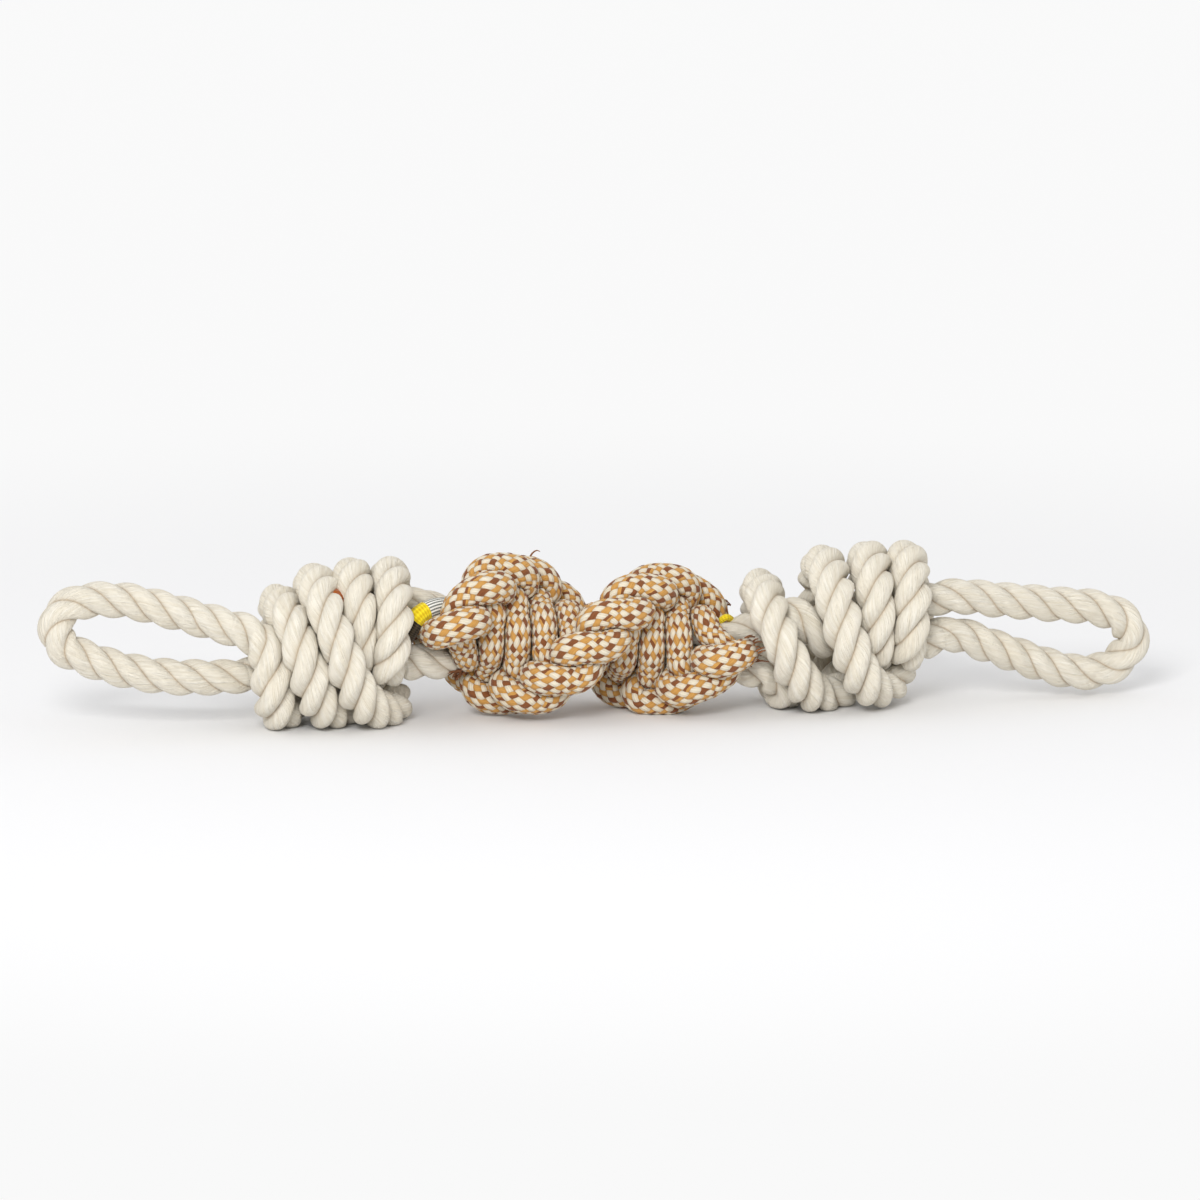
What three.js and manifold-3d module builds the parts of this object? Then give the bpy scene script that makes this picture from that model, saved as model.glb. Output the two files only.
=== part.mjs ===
// Rope dog toy: a laid cotton rope with a hand loop at each end, a wound knot beside each loop,
// and between the knots a spiral of half knots, tied in one checked braided cord round the rope's core.
// Millimetres. +X runs along the toy to the right, -Y faces the viewer, +Z is up, the floor is z = 0.

import * as THREE from 'three';
import { mergeVertices } from 'three/addons/utils/BufferGeometryUtils.js';
import Module from 'manifold-3d';

const wasm = await Module();
wasm.setup();

// Driving sizes of the white rope
const rope_diameter = 16;
const wound_rope_diameter = 13.4;
const face_gap = 0.3;
const foot_share = 0.1;

// Driving sizes of the knots
const knot_path_radius = 28.8;
const knot_half_length = 36;

// Driving sizes of the spiral of half knots, tied in one checked cord folded in half
const checked_cord_diameter = 9.4;
const half_knot_pitch = 11.7;
const half_knots = 10;
const ridge_half_turn_length = 66;
const ridge_path_radius = 28.8;
const spiral_middle_x = -0.6;
const spiral_start_angle = -18;
const spiral_tilt_degrees = 2.6;
const spiral_tilt_x = -8;
const core_diameter = 12.6;

// Driving sizes of the necks and of the places where the toy bends
const neck_strand_diameter = 6.4;
const neck_spread_radius = 4.8;
const neck_length = 11.9;
const left_bend_to_spiral = 8.9;
const right_bend_to_spiral = 4.6;
const left_bend_to_knot = 45;
const right_bend_to_knot = 42.9;
const left_knot_to_loop = 59;
const right_knot_to_loop = 54.6;
const loop_bend_y = -4;
const left_loop_length = 64;
const right_loop_length = 76;

// Counts
const rope_sides = 10;
const wound_sides = 7;
const checked_sides = 6;
const neck_sides = 8;
const steps_each_turn = 24;
const steps_each_loop = 30;
const dome_rings = 3;
const measures_each_place = 12;
const steps_each_leg_place = 2;
const fold_turns = 1.5;

// What follows from the sizes
const rope_radius = rope_diameter / 2;
const wound_radius = wound_rope_diameter / 2;
const checked_radius = checked_cord_diameter / 2;
const core_radius = core_diameter / 2;
const strand_radius = neck_strand_diameter / 2;
const axis_height = knot_path_radius + wound_radius - foot_share * wound_rope_diameter;
const half_turn = 180;
const full_turn = 360;

// The stretches follow each other along the toy, outwards from the middle of the spiral.
const spiral_length = half_knots * half_knot_pitch;
const spiral_start_x = spiral_middle_x - spiral_length / 2;
const left_neck_bend_x = spiral_start_x - left_bend_to_spiral;
const right_neck_bend_x = spiral_start_x + spiral_length + right_bend_to_spiral;
const left_knot_x = left_neck_bend_x - left_bend_to_knot;
const right_knot_x = right_neck_bend_x + right_bend_to_knot;
const left_loop_x = left_knot_x - left_knot_to_loop;
const right_loop_x = right_knot_x + right_knot_to_loop;

// The wrap angle counts from the bottom (0) by the front (90) and the top (180) to the back (270).
function around(x, radius, angle) {
  const turn = THREE.MathUtils.degToRad(angle);
  return new THREE.Vector3(x, -radius * Math.sin(turn), axis_height - radius * Math.cos(turn));
}

// The spiral and the core in it lie a little askew: higher at the left end, and lower at the right.
const tilt_centre = new THREE.Vector3(spiral_tilt_x, 0, axis_height);
const tilt_axis = new THREE.Vector3(0, 1, 0);

function askew(place) {
  const tilt = THREE.MathUtils.degToRad(spiral_tilt_degrees);
  return place.sub(tilt_centre).applyAxisAngle(tilt_axis, tilt).add(tilt_centre);
}

// One closed tube through the points, with its own radius at each, flat or domed at its ends.
// The rings keep one side facing the same way from step to step, so the tube doesn't twist.
function tube(points, radii, sides, domes = {}) {
  const places = points.map((point) => point.clone());
  const sizes = [...radii];
  const directions = places.map((place, index) => {
    const before = places[Math.max(index - 1, 0)];
    const after = places[Math.min(index + 1, places.length - 1)];
    return after.clone().sub(before).normalize();
  });
  const add_dome = (at_end) => {
    const rim = at_end ? places.length - 1 : 0;
    const centre = places[rim].clone();
    const outward = directions[rim].clone().multiplyScalar(at_end ? 1 : -1);
    const size = sizes[rim];
    const heading = directions[rim].clone();
    for (let ring = 1; ring <= dome_rings; ring += 1) {
      const slope = (ring / (dome_rings + 1)) * (Math.PI / 2);
      const place = centre.clone().addScaledVector(outward, size * Math.sin(slope));
      const ring_size = size * Math.cos(slope);
      if (at_end) {
        places.push(place);
        sizes.push(ring_size);
        directions.push(heading);
      } else {
        places.unshift(place);
        sizes.unshift(ring_size);
        directions.unshift(heading);
      }
    }
  };
  if (domes.start) add_dome(false);
  if (domes.end) add_dome(true);

  const side_way = new THREE.Vector3(0, 0, 1);
  if (Math.abs(directions[0].z) > Math.SQRT1_2) side_way.set(0, 1, 0);
  side_way.addScaledVector(directions[0], -side_way.dot(directions[0])).normalize();
  const vertices = [];
  places.forEach((place, index) => {
    const along = directions[index];
    side_way.addScaledVector(along, -side_way.dot(along)).normalize();
    const other_way = along.clone().cross(side_way);
    for (let side = 0; side < sides; side += 1) {
      const angle = (2 * Math.PI * side) / sides;
      const vertex = place.clone();
      vertex.addScaledVector(side_way, sizes[index] * Math.cos(angle));
      vertex.addScaledVector(other_way, sizes[index] * Math.sin(angle));
      vertices.push(vertex.x, vertex.y, vertex.z);
    }
  });
  const faces = [];
  const rings = places.length;
  for (let ring = 0; ring < rings - 1; ring += 1) {
    for (let side = 0; side < sides; side += 1) {
      const next_side = (side + 1) % sides;
      const a = ring * sides + side;
      const b = ring * sides + next_side;
      const c = a + sides;
      const d = b + sides;
      faces.push(a, b, c, b, d, c);
    }
  }
  const start_centre = vertices.length / 3;
  vertices.push(places[0].x, places[0].y, places[0].z);
  const end_centre = start_centre + 1;
  vertices.push(places[rings - 1].x, places[rings - 1].y, places[rings - 1].z);
  for (let side = 0; side < sides; side += 1) {
    const next_side = (side + 1) % sides;
    faces.push(start_centre, next_side, side);
    const last = (rings - 1) * sides;
    faces.push(end_centre, last + side, last + next_side);
  }
  const geometry = new THREE.BufferGeometry();
  geometry.setAttribute('position', new THREE.Float32BufferAttribute(vertices, 3));
  geometry.setIndex(faces);
  return geometry;
}

function solid_of(geometry) {
  const bare = geometry.clone();
  bare.deleteAttribute('normal');
  bare.deleteAttribute('uv');
  const merged = mergeVertices(bare);
  return new wasm.Manifold(new wasm.Mesh({
    numProp: 3,
    vertProperties: new Float32Array(merged.attributes.position.array),
    triVerts: new Uint32Array(merged.index.array),
  }));
}

function geometry_of(solid) {
  const mesh = solid.getMesh();
  const geometry = new THREE.BufferGeometry();
  geometry.setAttribute('position', new THREE.Float32BufferAttribute(mesh.vertProperties, 3));
  geometry.setIndex([...mesh.triVerts]);
  return geometry;
}

// The knots stand on the floor, so what bulges below it is cut flat.
const floor_reach_share = 8;
const floor_reach = floor_reach_share * knot_half_length;
const floor_block = new THREE.BoxGeometry(2 * floor_reach, floor_reach, floor_reach);
floor_block.translate(0, 0, -floor_reach / 2);
const below_floor = solid_of(floor_block);

function stand_on_floor(geometry) {
  return geometry_of(solid_of(geometry).subtract(below_floor));
}

// Points at even steps on a smooth curve through the given places, with sizes that follow.
function smooth_route(places, sizes, count) {
  const curve = new THREE.CatmullRomCurve3(places, false, 'centripetal');
  curve.arcLengthDivisions = measures_each_place * places.length;
  const points = [];
  const radii = [];
  for (let step = 0; step <= count; step += 1) {
    const share = step / count;
    points.push(curve.getPointAt(share));
    const place = curve.getUtoTmapping(share) * (places.length - 1);
    const before = Math.min(Math.floor(place), places.length - 2);
    radii.push(THREE.MathUtils.lerp(sizes[before], sizes[before + 1], place - before));
  }
  return { points, radii };
}

const white_rope = () => new THREE.MeshStandardMaterial({ color: 0xe9e2d2, roughness: 0.9, metalness: 0 });
const checked_cord = () => new THREE.MeshStandardMaterial({ color: 0xc08a5a, roughness: 0.85, metalness: 0 });
const striped_cord = () => new THREE.MeshStandardMaterial({ color: 0xd8c828, roughness: 0.8, metalness: 0 });

const toy = new THREE.Group();
const routes = {};

function add_tube(name, route, sides, material, { domes = {}, stands = false } = {}) {
  const geometry = tube(route.points, route.radii, sides, domes);
  const mesh = new THREE.Mesh(stands ? stand_on_floor(geometry) : geometry, material);
  mesh.name = name;
  toy.add(mesh);
  routes[name] = route;
}

// The loops. Each is a hand loop of free rope, and its points are chosen along the rope in the photograph.
// Rows: outwards from the knot and upwards from the floor as shares of the loop's length, and the share of
// the sideways bend where the loop leaves the knot.
const left_loop_shares = [
  [0, 1, 0.7562], [0.25, 0.75, 0.8313], [0.4844, 0.25, 0.8875], [0.7031, 0, 0.9],
  [0.875, 0, 0.875], [0.9781, 0, 0.8], [1, 0, 0.6906], [0.9469, 0, 0.5813],
  [0.8125, 0, 0.5156], [0.5625, 0.25, 0.4313], [0.2812, 0.75, 0.375], [0, 1, 0.3563],
];
const right_loop_shares = [
  [0, 1, 0.3974], [0.1961, 0.75, 0.3237], [0.3697, 0.25, 0.2539], [0.5434, 0, 0.1895],
  [0.7171, 0, 0.15], [0.8908, 0, 0.1816], [1, 0, 0.3105], [0.9408, 0, 0.4342],
  [0.7829, 0, 0.5053], [0.6013, 0, 0.5434], [0.4276, 0.25, 0.5658], [0.2539, 0.5, 0.5868],
  [0, 1, 0.6211],
];

function loop_route(rows, loop_x, outward, loop_length) {
  const points = rows.map(([out, across, up]) => (
    new THREE.Vector3(loop_x + outward * out * loop_length, across * loop_bend_y, up * loop_length)));
  return smooth_route(points, points.map(() => rope_radius), steps_each_loop);
}

const left_loop = loop_route(left_loop_shares, left_loop_x, -1, left_loop_length);
const right_loop = loop_route(right_loop_shares, right_loop_x, 1, right_loop_length);
const both_domed = { domes: { start: true, end: true } };
add_tube('left_loop', left_loop, rope_sides, white_rope(), both_domed);
add_tube('right_loop', right_loop, rope_sides, white_rope(), both_domed);

// The windings. Each row gives the wrap angle, the place along the knot as a share of its half length,
// the distance from the knot's axis as a share of the path radius, and the share of the rope's thickness.
// In both knots the third turn runs down over the last two, which dive to the middle of the knot.
const left_winding_shares = [
  [128, -1.05, 0.44, 1], [104, -0.895, 0.52, 1], [82, -0.85, 0.63, 1], [55, -0.835, 0.81, 1],
  [25, -0.75, 0.96, 1], [0, -0.6, 1, 1], [-45, -0.56, 1, 1], [-90, -0.56, 0.95, 1],
  [-135, -0.60, 0.82, 1], [-180, -0.645, 0.66, 1], [-225, -0.59, 0.79, 1], [-270, -0.475, 0.93, 1],
  [-305, -0.335, 1, 1], [-335, -0.13, 1, 1], [-360, 0.09, 1, 1], [-405, 0.02, 1, 1],
  [-450, -0.09, 1, 1], [-495, -0.165, 0.98, 1], [-540, -0.215, 0.92, 1], [-585, -0.205, 1, 1],
  [-630, -0.02, 1.05, 1], [-665, 0.2, 1.07, 1], [-695, 0.48, 1.03, 1], [-720, 0.68, 1, 1],
  [-765, 0.69, 1, 1], [-810, 0.46, 1, 1], [-855, 0.3, 1, 1], [-900, 0.235, 1, 1],
  [-945, 0.225, 0.94, 1], [-990, 0.3, 0.71, 0.98], [-1020, 0.345, 0.5, 0.96], [-1055, 0.395, 0.42, 0.96],
  [-1080, 0.445, 0.4, 0.96], [-1125, 0.59, 0.44, 0.96], [-1170, 0.82, 0.64, 0.98], [-1215, 0.76, 0.9, 1],
  [-1260, 0.675, 1, 1], [-1305, 0.675, 0.98, 1], [-1340, 0.7, 0.86, 0.98], [-1356, 0.76, 0.68, 0.96],
  [-1360, 0.79, 0.5, 0.96], [-1360, 0.79, 0.3, 0.96],
];
const right_winding_shares = [
  [12, -1.1, 0.63, 1], [12, -0.74, 0.63, 1], [4, -0.6, 0.78, 1], [-15, -0.57, 0.92, 1],
  [-45, -0.62, 1, 1], [-90, -0.7, 0.94, 1], [-135, -0.79, 0.82, 1], [-180, -0.85, 0.66, 1],
  [-225, -0.88, 0.76, 1], [-270, -0.79, 0.93, 1], [-305, -0.575, 1, 1], [-335, -0.29, 1, 1],
  [-360, 0.07, 1, 1], [-405, 0.05, 1, 1], [-450, 0, 1, 1], [-495, -0.04, 0.98, 1],
  [-540, -0.075, 0.95, 1], [-585, -0.085, 1, 1], [-630, 0.035, 1.05, 1], [-665, 0.255, 1.07, 1],
  [-695, 0.535, 1.03, 1], [-720, 0.78, 0.95, 1], [-765, 0.88, 0.9, 1], [-810, 0.72, 0.96, 1],
  [-855, 0.56, 1, 1], [-900, 0.465, 1, 1], [-945, 0.44, 0.95, 1], [-990, 0.465, 0.74, 0.98],
  [-1025, 0.49, 0.53, 0.96], [-1055, 0.53, 0.44, 0.96], [-1080, 0.575, 0.42, 0.96], [-1125, 0.77, 0.38, 0.96],
  [-1170, 1.08, 0.53, 0.98], [-1215, 1.03, 0.84, 1], [-1260, 0.92, 1, 1], [-1305, 0.92, 0.92, 1],
  [-1350, 0.9, 0.71, 0.98], [-1385, 0.93, 0.5, 0.96], [-1390, 1.06, 0.34, 0.96], [-1385, 1.2, 0.28, 0.96],
];

// A stretch that meets a loop starts one rope radius and a gap away from the end of the loop's leg.
function meeting_place(leg_end, next_place) {
  return leg_end.clone().add(next_place.clone().sub(leg_end).setLength(rope_radius + face_gap));
}

function winding(rows, knot_x, leg_before, leg_after) {
  const places = rows.map(([angle, along, out]) => (
    around(knot_x + along * knot_half_length, out * knot_path_radius, angle)));
  const sizes = rows.map((row) => row[3] * wound_radius);
  if (leg_before) {
    places.unshift(meeting_place(leg_before, places[0]));
    sizes.unshift(wound_radius);
  }
  if (leg_after) {
    places.push(meeting_place(leg_after, places[places.length - 1]));
    sizes.push(wound_radius);
  }
  const turns = Math.abs(rows[rows.length - 1][0] - rows[0][0]) / full_turn;
  return smooth_route(places, sizes, Math.round(turns * steps_each_turn));
}

const left_upper_end = left_loop.points[0];
const left_lower_end = left_loop.points[steps_each_loop];
const right_lower_end = right_loop.points[0];
const right_upper_end = right_loop.points[steps_each_loop];
const left_winding = winding(left_winding_shares, left_knot_x, left_upper_end, null);
const right_winding = winding(right_winding_shares, right_knot_x, null, right_lower_end);
add_tube('left_knot_winding', left_winding, wound_sides, white_rope(), { stands: true });
add_tube('right_knot_winding', right_winding, wound_sides, white_rope(), { stands: true });

// The other leg of each loop runs into its knot and ends inside the winding.
// Rows: place along the knot, sideways and upwards, as shares of the knot's half length.
const left_leg_shares = [[-1.1, -0.09, -0.31], [-0.7, -0.03, -0.22], [-0.2, 0, 0.05], [0.3, 0, 0.2]];
const right_leg_shares = [[1.15, -0.08, 0.33], [0.8, -0.03, 0.3], [0.3, 0, 0.22], [-0.3, 0, 0.08]];

function leg_route(rows, knot_x, loop_end) {
  const places = rows.map(([along, across, up]) => new THREE.Vector3(
    knot_x + along * knot_half_length,
    across * knot_half_length,
    axis_height + up * knot_half_length,
  ));
  places.unshift(meeting_place(loop_end, places[0]));
  return smooth_route(places, places.map(() => wound_radius), places.length * steps_each_leg_place);
}

add_tube('left_leg_in_knot', leg_route(left_leg_shares, left_knot_x, left_lower_end), neck_sides, white_rope());
add_tube('right_leg_in_knot', leg_route(right_leg_shares, right_knot_x, right_upper_end), neck_sides, white_rope());

// The core: the rope drawn tight inside the spiral. Its domed ends are centred where the necks bend.
const core_route = {
  points: [askew(around(left_neck_bend_x, 0, 0)), askew(around(right_neck_bend_x, 0, 0))],
  radii: [core_radius, core_radius],
};
add_tube('core_rope', core_route, neck_sides, white_rope(), both_domed);

// The necks: the rope's three strands and the striped inner cord, side by side between knot and spiral.
function add_neck(side_name, bend_x, outward) {
  const from_x = bend_x + outward * (core_radius + face_gap);
  const to_x = from_x + outward * neck_length;
  const names = ['neck_strand_a', 'striped_cord', 'neck_strand_b', 'neck_strand_c'];
  names.forEach((name, index) => {
    const angle = (index + 0.5) * (full_turn / names.length);
    const route = {
      points: [askew(around(from_x, neck_spread_radius, angle)), askew(around(to_x, neck_spread_radius, angle))],
      radii: [strand_radius, strand_radius],
    };
    const material = name === 'striped_cord' ? striped_cord() : white_rope();
    add_tube(`${side_name}_${name}`, route, neck_sides, material);
  });
}

add_neck('left', left_neck_bend_x, -1);
add_neck('right', right_neck_bend_x, 1);

// The spiral. Each row of one half knot: place along as a share of the pitch, distance from the axis as a
// share of the ridge's, wrap angle in the turning frame, and the share of the cord's thickness.
// A bar crosses the core, hooks under the other half of the cord, lies along the ridge and dives behind.
const half_knot_shares = [
  [0.21, 0.442, 64, 1], [0.19, 0.406, 108, 1], [0.31, 0.504, 112, 0.84], [-0.14, 0.775, 150, 0.74],
  [-0.25, 0.74, 160, 0.84], [0.12, 0.988, 158, 0.92], [0.63, 1, 146, 0.92], [1.2, 1, 120, 0.92],
  [1.74, 0.915, 115, 0.84], [1.59, 0.725, 134, 0.74], [1.19, 0.45, 173, 0.84], [1.26, 0.462, 229, 1],
];
// Both cut ends run straight off the last ridge: the shown one as far as the right knot, the hidden one less.
const shown_tail_shares = [[1.25, 0.94, 125, 0.94], [1.6, 0.86, 112, 0.94], [1.85, 0.8, 104, 0.94]];
const hidden_tail_shares = [[1.05, 0.9, 130, 0.94], [1.4, 0.8, 118, 0.94]];
// At the other end the cord folds round between the first two ridges.
const fold_shares = [-1.36, 0.64, 118, 0.84];
const rows_up_to_the_ridge = 7;
const rows_before_the_ridge = 4;
const twist_each_half_knot = (half_turn * half_knot_pitch) / ridge_half_turn_length;

function half_knot_place(row, half_knot, other_half) {
  const [along, out, angle] = row;
  const turned = angle + half_turn * (half_knot + other_half) + twist_each_half_knot * (along + half_knot);
  const x = spiral_start_x + (along + half_knot) * half_knot_pitch;
  return askew(around(x, out * ridge_path_radius, turned + spiral_start_angle));
}

// From the cord's cut end along the last ridge, back through every half knot, to the fold at the left.
function half_of_cord(other_half) {
  const places = [];
  const sizes = [];
  const first_rows = other_half ? half_knot_shares.slice(rows_before_the_ridge) : half_knot_shares;
  const add_row = (row, half_knot) => {
    places.push(half_knot_place(row, half_knot, other_half));
    sizes.push(row[3] * checked_radius);
  };
  if (!other_half) add_row(half_knot_shares[half_knot_shares.length - 1], -2);
  first_rows.forEach((row) => add_row(row, -1));
  for (let half_knot = 0; half_knot < half_knots - 1; half_knot += 1) {
    half_knot_shares.forEach((row) => add_row(row, half_knot));
  }
  half_knot_shares.slice(0, rows_up_to_the_ridge).forEach((row) => add_row(row, half_knots - 1));
  const tail_rows = other_half ? shown_tail_shares : hidden_tail_shares;
  tail_rows.forEach((row) => add_row(row, half_knots - 1));
  return { places, sizes };
}

const first_half = half_of_cord(0);
const second_half = half_of_cord(1);
const [fold_along, fold_out, fold_angle, fold_thickness] = fold_shares;
const fold_x = spiral_start_x + fold_along * half_knot_pitch;
const fold_place = askew(around(fold_x, fold_out * ridge_path_radius, fold_angle));
const cord_places = [...first_half.places.reverse(), fold_place, ...second_half.places];
const cord_sizes = [...first_half.sizes.reverse(), fold_thickness * checked_radius, ...second_half.sizes];
const spiral_turns = half_knots + fold_turns;
const cord_route = smooth_route(cord_places, cord_sizes, Math.round(spiral_turns * steps_each_turn));
add_tube('checked_cord', cord_route, checked_sides, checked_cord(), { stands: true });

// The least gap of each wound tube to itself, measured on points along its straight steps.
const points_each_step = 4;
const own_reach_share = 1.6;

function fine_points(route) {
  const fine = [];
  let travelled = 0;
  for (let step = 0; step < route.points.length - 1; step += 1) {
    const from = route.points[step];
    const to = route.points[step + 1];
    for (let part = 0; part < points_each_step; part += 1) {
      const share = part / points_each_step;
      fine.push({
        place: from.clone().lerp(to, share),
        radius: THREE.MathUtils.lerp(route.radii[step], route.radii[step + 1], share),
        travelled: travelled + share * from.distanceTo(to),
      });
    }
    travelled += from.distanceTo(to);
  }
  return fine;
}

function least_gap_to_itself(fine) {
  let least = Infinity;
  fine.forEach((a, index) => {
    fine.slice(index + 1).forEach((b) => {
      const reach = 2 * own_reach_share * (a.radius + b.radius);
      if (b.travelled - a.travelled < reach) return;
      least = Math.min(least, a.place.distanceTo(b.place) - a.radius - b.radius);
    });
  });
  return least;
}

const wound_names = ['left_knot_winding', 'right_knot_winding', 'checked_cord'];
const lap_names = ['left_loop', 'right_loop'];
[...wound_names, ...lap_names].forEach((name) => {
  const least = least_gap_to_itself(fine_points(routes[name]));
  console.log(`${name}: least gap to itself ${least.toFixed(2)} mm`);
});

export default toy;
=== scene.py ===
# %% [markdown]
# # Dressing a rope dog toy
# The toy is laid white cotton rope, a braided cord with tan and brown checks, and a thin striped cord.
# The imported model has them as smooth tubes in the right places. Here they become real rope and braid: every
# stretch is built again round the same route, in metres. The knots' stretches ride on their knots, and the braid
# and its loose yarns on the middle.

# %% Load the imported model
import math

import bpy
import numpy as np
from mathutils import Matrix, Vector


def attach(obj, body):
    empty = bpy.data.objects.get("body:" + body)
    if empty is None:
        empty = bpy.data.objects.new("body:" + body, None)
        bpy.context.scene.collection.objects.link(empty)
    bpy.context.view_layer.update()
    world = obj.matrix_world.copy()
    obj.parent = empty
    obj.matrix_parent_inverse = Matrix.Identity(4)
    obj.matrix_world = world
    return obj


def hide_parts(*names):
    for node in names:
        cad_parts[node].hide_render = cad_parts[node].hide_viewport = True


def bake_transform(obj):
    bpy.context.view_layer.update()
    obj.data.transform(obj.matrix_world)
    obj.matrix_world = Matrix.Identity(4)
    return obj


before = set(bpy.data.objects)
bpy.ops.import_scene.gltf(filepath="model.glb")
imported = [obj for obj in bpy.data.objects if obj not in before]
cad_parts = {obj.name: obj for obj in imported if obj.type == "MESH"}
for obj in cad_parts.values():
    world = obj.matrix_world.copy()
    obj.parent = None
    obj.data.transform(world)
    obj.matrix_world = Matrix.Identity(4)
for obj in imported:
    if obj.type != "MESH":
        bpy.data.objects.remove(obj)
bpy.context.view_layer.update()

MM = 0.001


def add_object(name, data):
    added = bpy.data.objects.new(name, data)
    bpy.context.scene.collection.objects.link(added)
    return added


# %% [markdown]
# ## The camera
# The toy was photographed from a few metres away, from a little above, with its left end slightly nearer.
# A long lens keeps the far end almost as large as the near one, so the camera gets the same.
# It comes first, because the toy's pieces are set against the picture it takes.

# %% Place the camera
camera_distance = 5.0
camera_azimuth = math.radians(-10)
camera_elevation = math.radians(11)
looked_at = Vector((0.0033, 0.0, 0.0501))
frame_width = 0.5195
sensor_width = 36

towards_camera = Vector((
    math.sin(camera_azimuth) * math.cos(camera_elevation),
    -math.cos(camera_azimuth) * math.cos(camera_elevation),
    math.sin(camera_elevation),
))
camera_data = bpy.data.cameras.new("photo_camera")
camera_data.sensor_width = sensor_width
camera_data.lens = sensor_width * camera_distance / frame_width
camera_data.clip_end = 60
camera = add_object("photo_camera", camera_data)
camera.location = looked_at + towards_camera * camera_distance
camera.rotation_euler = towards_camera.to_track_quat("Z", "Y").to_euler()
bpy.context.scene.camera = camera
print("lens:", round(camera_data.lens, 1), "mm")

# %% [markdown]
# ## Routes
# A rope is described by its middle line. The same few places that shape the solids are repeated here,
# because the scene can't read the part's source. A smooth curve runs through them, and is cut into even steps.

# %% The sizes of the ropes and knots, in millimetres as the maker would say them
axis_height = 34.16
ridge_path_radius = 28.8
knot_path_radius = 28.8
knot_half_length = 36
left_knot_x, right_knot_x = -113, 105.4
half_knot_pitch = 11.7
half_knots = 10
spiral_start_x = -60.5
spiral_start_angle = -18
spiral_slope = -0.092
spiral_level_x = -8
slope_reach = 40
lifted_end_x, lifted_length, lifted_share = 26, 18, 0.2
lowered_start_x, lowered_length, lowered_share = -10, 20, 0.09
nose_starts_x, nose_length, nose_depth, nose_drop = -44, 30, 12, 1.5
nose_pushed, under_nose_pushed = 3.0, 6.0
half_turn_length = 66
twist_each_half_knot = 180 * half_knot_pitch / half_turn_length


def around(x, radius, angle):
    """A place on a ring round the toy's axis: 0 is the bottom, 90 the front, 180 the top, 270 the back."""
    turn = math.radians(angle)
    return [x, -radius * math.sin(turn), axis_height - radius * math.cos(turn)]


def sloped(places):
    """The spiral and its core lie a little askew: higher at the left end, and lower at the right."""
    return [
        [x, y, z + spiral_slope * slope_reach * math.tanh((x - spiral_level_x) / slope_reach)]
        for x, y, z in places
    ]


def eased(share):
    """A share from 0 to 1, clipped, that starts and ends gently."""
    share = np.clip(share, 0, 1)
    return share ** 2 * (3 - 2 * share)


def with_hanging_nose(line):
    """The folded end of the cord isn't held by anything, so it hangs and is pushed back by the knot."""
    share = eased((nose_starts_x - line[:, 0]) / nose_length)
    below = np.clip((axis_height - line[:, 2]) / nose_depth, 0, 1)
    pushed = share * (nose_pushed + below * under_nose_pushed)
    return line + np.column_stack([pushed, share * 0, -share * nose_drop])


def with_lifted_end(line):
    """The last ridges on the right are drawn up under the core, so they stand clear of the floor."""
    share = np.clip((line[:, 0] - lifted_end_x) / lifted_length, 0, 1)
    under = np.minimum(line[:, 2] - axis_height, 0)
    return line - np.outer(share * lifted_share * under, (0, 0, 1))


def with_lowered_top(line):
    """The second turn of the spiral doesn't reach quite as high as the first."""
    share = eased((line[:, 0] - lowered_start_x) / lowered_length)
    over = np.maximum(line[:, 2] - axis_height, 0)
    return line - np.outer(share * lowered_share * over, (0, 0, 1))


# %% A smooth line through chosen places, in even steps
samples_each_stretch = 24


def segment_lengths(points):
    return np.linalg.norm(np.diff(points, axis=0), axis=1)


def smooth_line(places, sizes, step):
    """Points every step along a centripetal curve through the places, and the sizes at them."""
    places = np.array(places, float)
    ends = np.vstack([2 * places[0] - places[1], places, 2 * places[-1] - places[-2]])
    gaps = np.sqrt(segment_lengths(ends))
    dense, shares = [], []
    t = np.linspace(0, 1, samples_each_stretch, endpoint=False)[:, None]
    for i in range(len(places) - 1):
        p0, p1, p2, p3 = ends[i:i + 4]
        before, here, after = gaps[i:i + 3]
        out = ((p1 - p0) / before - (p2 - p0) / (before + here) + (p2 - p1) / here) * here
        into = ((p2 - p1) / here - (p3 - p1) / (here + after) + (p3 - p2) / after) * here
        square, cube = 3 * (p2 - p1) - 2 * out - into, 2 * (p1 - p2) + out + into
        dense.append(p1 + out * t + square * t ** 2 + cube * t ** 3)
        shares.append(i + t[:, 0])
    dense = np.vstack(dense + [places[-1:]])
    shares = np.append(np.concatenate(shares), len(places) - 1)
    travelled = np.append(0, np.cumsum(segment_lengths(dense)))
    count = max(int(round(travelled[-1] / step)), 2)
    arcs = np.linspace(0, travelled[-1], count + 1)
    line = np.column_stack([np.interp(arcs, travelled, dense[:, k]) for k in range(3)])
    sizes = np.interp(np.interp(arcs, travelled, shares), np.arange(len(places)), sizes)
    return line, sizes, arcs


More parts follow.
